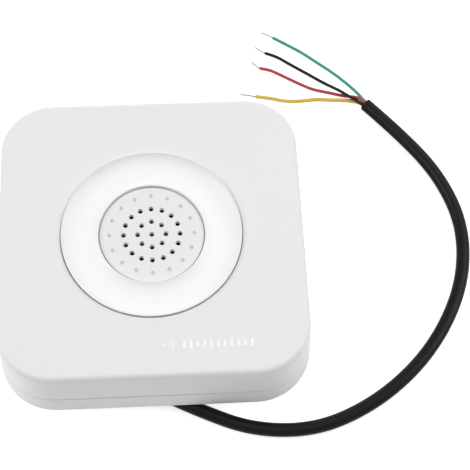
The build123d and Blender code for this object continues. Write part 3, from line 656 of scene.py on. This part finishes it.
def header_into(metal, tracks, printed):
    # Tracks from the header's pins, and the header's outline
    for k, x in enumerate(PIN_XS):
        bend, turn, end = (PIN_Y - stepped(row, k) for row in PIN_ROWS)
        end_x = x - stepped(PIN_SHIFT, k)
        track_into(tracks, metal, ((x, PIN_Y), (x, bend), (end_x, turn), (end_x, end)))
    outline_into(printed, HEADER, HEADER_HALF)


def leads_into(metal):
    # Bent wires of the two filter capacitors
    for x, radius, way in CANS:
        level = BOARD_TOP + radius
        foot = x + way * (CAN_HALF + LEAD_OUT)
        line = [(x + way * (CAN_HALF - LEAD_INSIDE), level), (foot - way * LEAD_BEND, level),
                (foot - way * LEAD_CORNER, level - LEAD_CORNER), (foot, level - LEAD_BEND),
                (foot, BOARD_TOP)]
        for side in (-1, 1):
            points = [Vector((a, CAN_Y + side * LEAD_SIDE, z)) * MM for a, z in line]
            tube_into(metal, points, LEAD_RADIUS * MM, LEAD_ROUND)


def stripe_into(bm, x, radius):
    # Printed stripe along a filter capacitor's sleeve
    level = BOARD_TOP + radius
    rings = []
    for k in range(STRIPE_STEPS + 1):
        angle = math.radians(STRIPE_START + STRIPE_STEP * k)
        rings.append([
            bm.verts.new(((x + along) * MM, (CAN_Y + (radius + out) * math.cos(angle)) * MM,
                          (level + (radius + out) * math.sin(angle)) * MM))
            for along, out in ((-STRIPE_HALF, 0.0), (STRIPE_HALF, 0.0),
                               (STRIPE_HALF, STRIPE_SKIN), (-STRIPE_HALF, STRIPE_SKIN))])
    solid_into(bm, rings)


def cross_into(bm, x, radius, way):
    # Raised cross on a filter capacitor's closed end
    centre = Vector((x - way * CAN_HALF, CAN_Y, BOARD_TOP + radius))
    for across, up in ((Vector((0, 1, 0)), Vector((0, 0, 1))),
                       (Vector((0, 0, 1)), Vector((0, -1, 0)))):
        corners = [centre + across * a * (radius - CROSS_MARGIN) + up * b * CROSS_HALF
                   for a, b in SQUARE]
        solid_into(bm, [[bm.verts.new((c - Vector((way * depth, 0, 0))) * MM) for c in corners]
                        for depth in (0.0, CROSS_DEPTH)])


def board_piece(name, bm, bevel=0.0):
    piece = closed_piece(name, bm, "case")
    if bevel:
        rounding = piece.modifiers.new("edges", "BEVEL")
        rounding.width = bevel * MM
        rounding.segments = BEVEL_STEPS
    return piece


def make_board_detail():
    solder, metal, tracks, printed, stripes, crosses, dots = (bmesh.new() for _ in range(7))
    joints_into(solder)
    small_parts_into(solder, metal, printed)
    terminals_into(metal)
    chips_into(solder, metal, tracks, printed)
    header_into(metal, tracks, printed)
    leads_into(metal)
    for x, radius, way in CANS:
        stripe_into(stripes, x, radius)
        cross_into(crosses, x, radius, way)
    for x, y in CHIPS:
        turned_into(dots, DOT, (x - CHIP_HALF[0] + DOT_INSET, y - CHIP_HALF[1] + DOT_INSET,
                                BOARD_TOP + CHIP_HEIGHT))
    return [board_piece("solder_joints", solder, SOLDER_BEVEL),
            board_piece("metal_ends", metal, METAL_BEVEL),
            board_piece("board_tracks", tracks),
            board_piece("board_print", printed),
            board_piece("can_stripes", stripes),
            board_piece("can_ends", crosses, CROSS_BEVEL),
            board_piece("chip_dots", dots)]


PIECES += make_board_detail()

# Materials
SLOW_DETAIL, FINE_DETAIL = 3.0, 2.0
BUMP_STRENGTH = 0.6
PLASTIC_IOR = 1.47
ROUGH_SCALE = 4


def new_material(name):
    material = bpy.data.materials.new(name)
    material.use_nodes = True
    tree = material.node_tree
    return material, tree, tree.nodes["Principled BSDF"]


def math_node(tree, operation, first, second):
    # The second value may be a socket or a number
    node = tree.nodes.new("ShaderNodeMath")
    node.operation = operation
    tree.links.new(first, node.inputs[0])
    if isinstance(second, float):
        node.inputs[1].default_value = second
    else:
        tree.links.new(second, node.inputs[1])
    return node.outputs["Value"]


def noise(tree, place, scale, detail=FINE_DETAIL):
    node = tree.nodes.new("ShaderNodeTexNoise")
    node.inputs["Scale"].default_value = scale
    node.inputs["Detail"].default_value = detail
    tree.links.new(place, node.inputs["Vector"])
    return node.outputs["Fac"]


def spread(tree, value, low, high, start=0.3, end=0.7):
    node = tree.nodes.new("ShaderNodeMapRange")
    node.inputs["From Min"].default_value = start
    node.inputs["From Max"].default_value = end
    node.inputs["To Min"].default_value = low
    node.inputs["To Max"].default_value = high
    tree.links.new(value, node.inputs["Value"])
    return node.outputs["Result"]


def blend_colours(tree, factor, first, second):
    node = tree.nodes.new("ShaderNodeMix")
    node.data_type = "RGBA"
    tree.links.new(factor, node.inputs["Factor"])
    for socket, colour in ((node.inputs["A"], first), (node.inputs["B"], second)):
        if isinstance(colour, tuple):
            socket.default_value = (*colour, 1.0)
        else:
            tree.links.new(colour, socket)
    return node.outputs["Result"]


def paint_hollow_shade(material, level, depth, near, far, colour):
    # Painted shade that deepens below the given height, between two distances from the axis
    tree = material.node_tree
    base = tree.nodes["Principled BSDF"].inputs["Base Color"]
    place = tree.nodes.new("ShaderNodeTexCoord").outputs["Object"]
    parts = tree.nodes.new("ShaderNodeSeparateXYZ")
    tree.links.new(place, parts.inputs["Vector"])
    share = spread(tree, parts.outputs["Z"], 1.0, 0.0, (level - depth) * MM, level * MM)
    flat = tree.nodes.new("ShaderNodeVectorMath")
    flat.operation = "MULTIPLY"
    flat.inputs[1].default_value = (1.0, 1.0, 0.0)
    tree.links.new(place, flat.inputs[0])
    away = tree.nodes.new("ShaderNodeVectorMath")
    away.operation = "LENGTH"
    tree.links.new(flat.outputs["Vector"], away.inputs[0])
    for edge, kind in ((near, "GREATER_THAN"), (far, "LESS_THAN")):
        inside = math_node(tree, kind, away.outputs["Value"], edge * MM)
        share = math_node(tree, "MULTIPLY", share, inside)
    # Painted shade mixed into the base colour inside the mask
    mixed = blend_colours(tree, share, base.links[0].from_socket, colour)
    tree.links.new(mixed, base)


def surface(name, colour, rough, tone=0.03, tone_scale=60.0, grain=0.01, grain_scale=1800.0,
            rough_swing=0.06, metallic=0.0, coat=0.0, coat_rough=0.1, second=None, level=0.5):
    # Moulded or coated surface: slow tone changes, varied roughness and a fine grain
    material, tree, shader = new_material(name)
    place = tree.nodes.new("ShaderNodeTexCoord").outputs["Object"]
    slow = noise(tree, place, tone_scale, SLOW_DETAIL)
    fine = noise(tree, place, grain_scale)
    dark = second or tuple(c * (1 - tone) for c in colour)
    mixed = blend_colours(tree, spread(tree, slow, 0.0, 1.0), colour, dark)
    tree.links.new(mixed, shader.inputs["Base Color"])
    worn = noise(tree, place, tone_scale * ROUGH_SCALE)
    tree.links.new(spread(tree, worn, rough - rough_swing, rough + rough_swing),
                   shader.inputs["Roughness"])
    bump = tree.nodes.new("ShaderNodeBump")
    bump.inputs["Strength"].default_value = BUMP_STRENGTH
    bump.inputs["Distance"].default_value = grain * MM
    tree.links.new(fine, bump.inputs["Height"])
    tree.links.new(bump.outputs["Normal"], shader.inputs["Normal"])
    for socket, value in (("Metallic", metallic), ("IOR", PLASTIC_IOR),
                          ("Specular IOR Level", level), ("Coat Weight", coat),
                          ("Coat Roughness", coat_rough)):
        shader.inputs[socket].default_value = value
    return material


WHITE = (0.80, 0.80, 0.80)
MATERIALS = {
    "case": surface("case_white", WHITE, 0.42, tone=0.015, tone_scale=25.0, grain=0.012,
                    grain_scale=2200.0),
    "base": surface("base_white", WHITE, 0.44, tone=0.02, tone_scale=25.0, grain=0.014,
                    grain_scale=2200.0),
    "bracket": surface("bracket_white", (0.72, 0.72, 0.71), 0.5, tone=0.03, tone_scale=30.0,
                       grain=0.02, grain_scale=1600.0),
    "ring": surface("ring_gloss", (0.89, 0.89, 0.893), 0.48, tone=0.006, tone_scale=30.0,
                    grain=0.003, grain_scale=900.0, rough_swing=0.03, coat=0.15,
                    coat_rough=0.3),
    "grille": surface("grille_white", WHITE, 0.45, tone=0.015, tone_scale=60.0, grain=0.012,
                      grain_scale=2600.0),
    "mark": surface("mark_white", (0.95, 0.95, 0.95), 0.4, tone=0.01, tone_scale=200.0,
                    grain=0.006, grain_scale=3000.0),
    "grommet": surface("grommet_black", (0.018, 0.018, 0.019), 0.5, tone=0.3,
                       tone_scale=400.0, grain=0.02),
    "jacket": surface("jacket_black", (0.006, 0.006, 0.0075), 0.36, tone=0.35,
                      tone_scale=300.0, grain=0.02, grain_scale=1500.0, rough_swing=0.08,
                      level=0.12),
    "clamp": surface("clamp_black", (0.02, 0.02, 0.021), 0.5, tone=0.2, tone_scale=200.0,
                     grain=0.015),
    "green": surface("green_cover", (0.045, 0.315, 0.245), 0.4, tone=0.12, tone_scale=500.0,
                     grain=0.01, level=0.3),
    "black": surface("black_cover", (0.009, 0.009, 0.011), 0.36, tone=0.3, tone_scale=500.0,
                     grain=0.01, level=0.15),
    "red": surface("red_cover", (0.42, 0.05, 0.056), 0.4, tone=0.12, tone_scale=500.0,
                   grain=0.01, level=0.3),
    "yellow": surface("yellow_cover", (0.64, 0.455, 0.075), 0.4, tone=0.1, tone_scale=500.0,
                      grain=0.01, level=0.3),
    "copper": surface("tinned_strands", (0.36, 0.31, 0.27), 0.4, second=(0.25, 0.24, 0.23),
                      tone_scale=900.0, grain=0.004, metallic=1.0),
    "steel": surface("zinc_steel", (0.62, 0.63, 0.65), 0.3, tone=0.12, tone_scale=700.0,
                     grain=0.006, metallic=1.0),
    "board": surface("board_green", (0.012, 0.13, 0.055), 0.32, tone=0.2, tone_scale=160.0,
                     grain=0.006, coat=0.3),
    "track": surface("track_green", (0.03, 0.22, 0.09), 0.3, tone=0.15, tone_scale=300.0,
                     grain=0.004, coat=0.3),
    "print": surface("board_print_white", (0.75, 0.75, 0.73), 0.5, tone=0.1,
                     tone_scale=900.0, grain=0.004),
    "stripe": surface("stripe_grey", (0.42, 0.43, 0.46), 0.4, tone=0.1, tone_scale=500.0,
                      grain=0.004),
    "ivory": surface("ivory_nylon", (0.78, 0.74, 0.62), 0.45, tone=0.04, tone_scale=300.0,
                     grain=0.01),
    "tin": surface("tinned_metal", (0.70, 0.70, 0.69), 0.28, tone=0.1, tone_scale=900.0,
                   grain=0.005, metallic=1.0),
    "foam": surface("foam_black", (0.03, 0.03, 0.032), 0.9, tone=0.4, tone_scale=900.0,
                    grain=0.12, grain_scale=2600.0),
    "magnet": surface("magnet_nickel", (0.60, 0.59, 0.57), 0.22, tone=0.06, tone_scale=200.0,
                      grain=0.003, metallic=1.0),
    "winding": surface("enamelled_copper", (0.60, 0.22, 0.08), 0.3, tone=0.2,
                       tone_scale=900.0, grain=0.006, metallic=1.0),
    # The dome is lighter than the film: painted light for the light seen through the grille's
    # middle holes
    "dome_painted_light": surface("film_dome", (0.2, 0.2, 0.205), 0.3, tone=0.2, tone_scale=200.0,
                    grain=0.003, coat=0.3),
    "film": surface("clear_film", (0.02, 0.02, 0.022), 0.3, tone=0.2, tone_scale=200.0,
                    grain=0.003, coat=0.3),
    "laminate": surface("brown_laminate", (0.20, 0.10, 0.04), 0.55, tone=0.3,
                        tone_scale=500.0, grain=0.01),
    "epoxy": surface("black_epoxy", (0.016, 0.016, 0.017), 0.55, tone=0.2, tone_scale=500.0,
                     grain=0.012),
    "ceramic": surface("black_ceramic", (0.02, 0.02, 0.024), 0.25, tone=0.1,
                       tone_scale=700.0, grain=0.004),
    "tan": surface("tan_ceramic", (0.45, 0.31, 0.19), 0.45, tone=0.15, tone_scale=900.0,
                   grain=0.006),
    "sleeve": surface("capacitor_sleeve", (0.03, 0.035, 0.06), 0.3, tone=0.1,
                      tone_scale=300.0, grain=0.004, coat=0.3),
}

# The grille's dimples lie between two circles, just below its top; painted shade darkens them
DIMPLE_TOP = 25.08
DIMPLE_DEPTH = 0.2
DIMPLE_NEAR, DIMPLE_FAR = 10.0, 13.5
DIMPLE_PAINTED_SHADE = (0.6, 0.6, 0.6)
# Painted shade in the dimples, not a colour of the grille plastic
paint_hollow_shade(MATERIALS["grille"], DIMPLE_TOP, DIMPLE_DEPTH, DIMPLE_NEAR, DIMPLE_FAR,
              DIMPLE_PAINTED_SHADE)

NODE_LOOKS = {
    "wall_bracket": "bracket", "rear_base": "base", "front_cover": "case", "dish_ring": "ring",
    "speaker_grille": "grille", "relief_mark": "mark", "cable_grommet": "grommet",
    "cable_tail": "jacket", "cable_clamp": "clamp", "clamp_screws": "steel",
    "circuit_board": "board", "board_screws": "steel", "board_header": "ivory",
    "header_pins": "tin", "lead_plug": "ivory", "speaker_pad": "foam",
    "speaker_yoke": "steel", "speaker_magnet": "magnet", "speaker_top_plate": "steel",
    "speaker_frame": "steel", "voice_coil": "winding", "speaker_cone": "film",
    "cone_surround": "film", "speaker_gasket": "foam", "speaker_terminal": "laminate",
    "speaker_lead_red": "red", "speaker_lead_black": "black", "sound_chip": "epoxy",
    "amplifier_chip": "epoxy", "chip_legs": "tin", "voltage_regulator": "epoxy",
    "protection_diodes": "epoxy", "chip_resistors": "ceramic", "chip_capacitors": "tan",
    "filter_capacitors": "sleeve"}
PIECE_LOOKS = {
    "cable_line": "jacket", "jacket_lip": "jacket", "foam_pad": "foam", "foam_ring": "foam",
    "film_dome": "dome_painted_light", "film_skirt": "film", "film_roll": "film",
    "coil_former": "laminate", "coil_winding": "winding", "solder_joints": "tin",
    "metal_ends": "tin", "board_tracks": "track", "board_print": "print",
    "can_stripes": "stripe", "can_ends": "tin", "chip_dots": "stripe"}
for colour in CORE_ROUTES:
    NODE_LOOKS[f"inner_lead_{colour}"] = colour
    PIECE_LOOKS[f"core_line_{colour}"] = colour
    PIECE_LOOKS[f"strands_{colour}"] = "copper"


def paint(piece, look):
    material = MATERIALS[look]
    if piece.material_slots:
        for place in piece.material_slots:
            place.material = material
    else:
        piece.data.materials.append(material)


for node, look in NODE_LOOKS.items():
    paint(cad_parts[node], look)
for piece in PIECES:
    paint(piece, PIECE_LOOKS[piece.name])

# Floor, world and lamps, in metres. A lamp is its name, place, size and power
FLOOR_HALF = 0.9
FLOOR_DROP = 0.00005
FLOOR_CELLS = 4
FLOOR_TONE = (0.82, 0.82, 0.82, 1.0)
FLOOR_ROUGHNESS = 0.9
FLOOR_GLOW = 0.375
FLOOR_LIFT = 0.3
WORLD_TONE = (1.0, 1.0, 1.0, 1.0)
LAMP_TARGET = (0.0, 0.0, 0.01)
LAMPS = [
    ("top", (0.0, 0.0, 1.2), 0.9, 2.95), ("front", (0.0, -1.0, 0.75), 0.8, 0.45),
    ("left", (-1.0, 0.0, 0.75), 0.8, 9.65), ("right", (1.0, 0.0, 0.75), 0.8, 6.95),
    ("low_back", (0.0, 1.2, 0.35), 0.6, 1.98), ("high_right", (0.6, 0.6, 0.9), 0.8, 3.75)]


def make_floor():
    # White floor that glows a little, and more where the camera sees it
    bm = bmesh.new()
    bmesh.ops.create_grid(bm, x_segments=FLOOR_CELLS, y_segments=FLOOR_CELLS, size=FLOOR_HALF)
    data = bpy.data.meshes.new("floor")
    bm.to_mesh(data)
    bm.free()
    floor = bpy.data.objects.new("floor", data)
    floor.location.z = -FLOOR_DROP
    bpy.context.scene.collection.objects.link(floor)
    material, tree, shader = new_material("floor_white")
    shader.inputs["Base Color"].default_value = FLOOR_TONE
    shader.inputs["Roughness"].default_value = FLOOR_ROUGHNESS
    shader.inputs["Specular IOR Level"].default_value = 0.0
    glow = tree.nodes.new("ShaderNodeEmission")
    light_path = tree.nodes.new("ShaderNodeLightPath")
    level = tree.nodes.new("ShaderNodeMath")
    level.operation = "MULTIPLY_ADD"
    tree.links.new(light_path.outputs["Is Camera Ray"], level.inputs[0])
    level.inputs[1].default_value = FLOOR_LIFT
    level.inputs[2].default_value = FLOOR_GLOW
    tree.links.new(level.outputs["Value"], glow.inputs["Strength"])
    both = tree.nodes.new("ShaderNodeAddShader")
    tree.links.new(shader.outputs["BSDF"], both.inputs[0])
    tree.links.new(glow.outputs["Emission"], both.inputs[1])
    tree.links.new(both.outputs["Shader"], tree.nodes["Material Output"].inputs["Surface"])
    floor.data.materials.append(material)


def make_world():
    # White for the camera, in gloss and through glass, and no light on the object
    world = bpy.data.worlds.new("studio")
    bpy.context.scene.world = world
    world.use_nodes = True
    tree = world.node_tree
    soft = tree.nodes["Background"]
    soft.inputs["Color"].default_value = WORLD_TONE
    light_path = tree.nodes.new("ShaderNodeLightPath")
    seen = light_path.outputs["Is Camera Ray"]
    for name in ("Is Glossy Ray", "Is Transmission Ray"):
        seen = math_node(tree, "MAXIMUM", seen, light_path.outputs[name])
    tree.links.new(seen, soft.inputs["Strength"])


def area_light(name, place, size, power):
    data = bpy.data.lights.new(name, "AREA")
    data.shape = "DISK"
    data.size = size
    data.energy = power
    light = bpy.data.objects.new(name, data)
    light.location = place
    light.rotation_mode = "QUATERNION"
    aim = Vector(LAMP_TARGET) - Vector(place)
    light.rotation_quaternion = aim.to_track_quat("-Z", "Y")
    bpy.context.scene.collection.objects.link(light)


make_floor()
make_world()
for lamp in LAMPS:
    area_light(*lamp)
bpy.context.scene.view_settings.view_transform = "Standard"
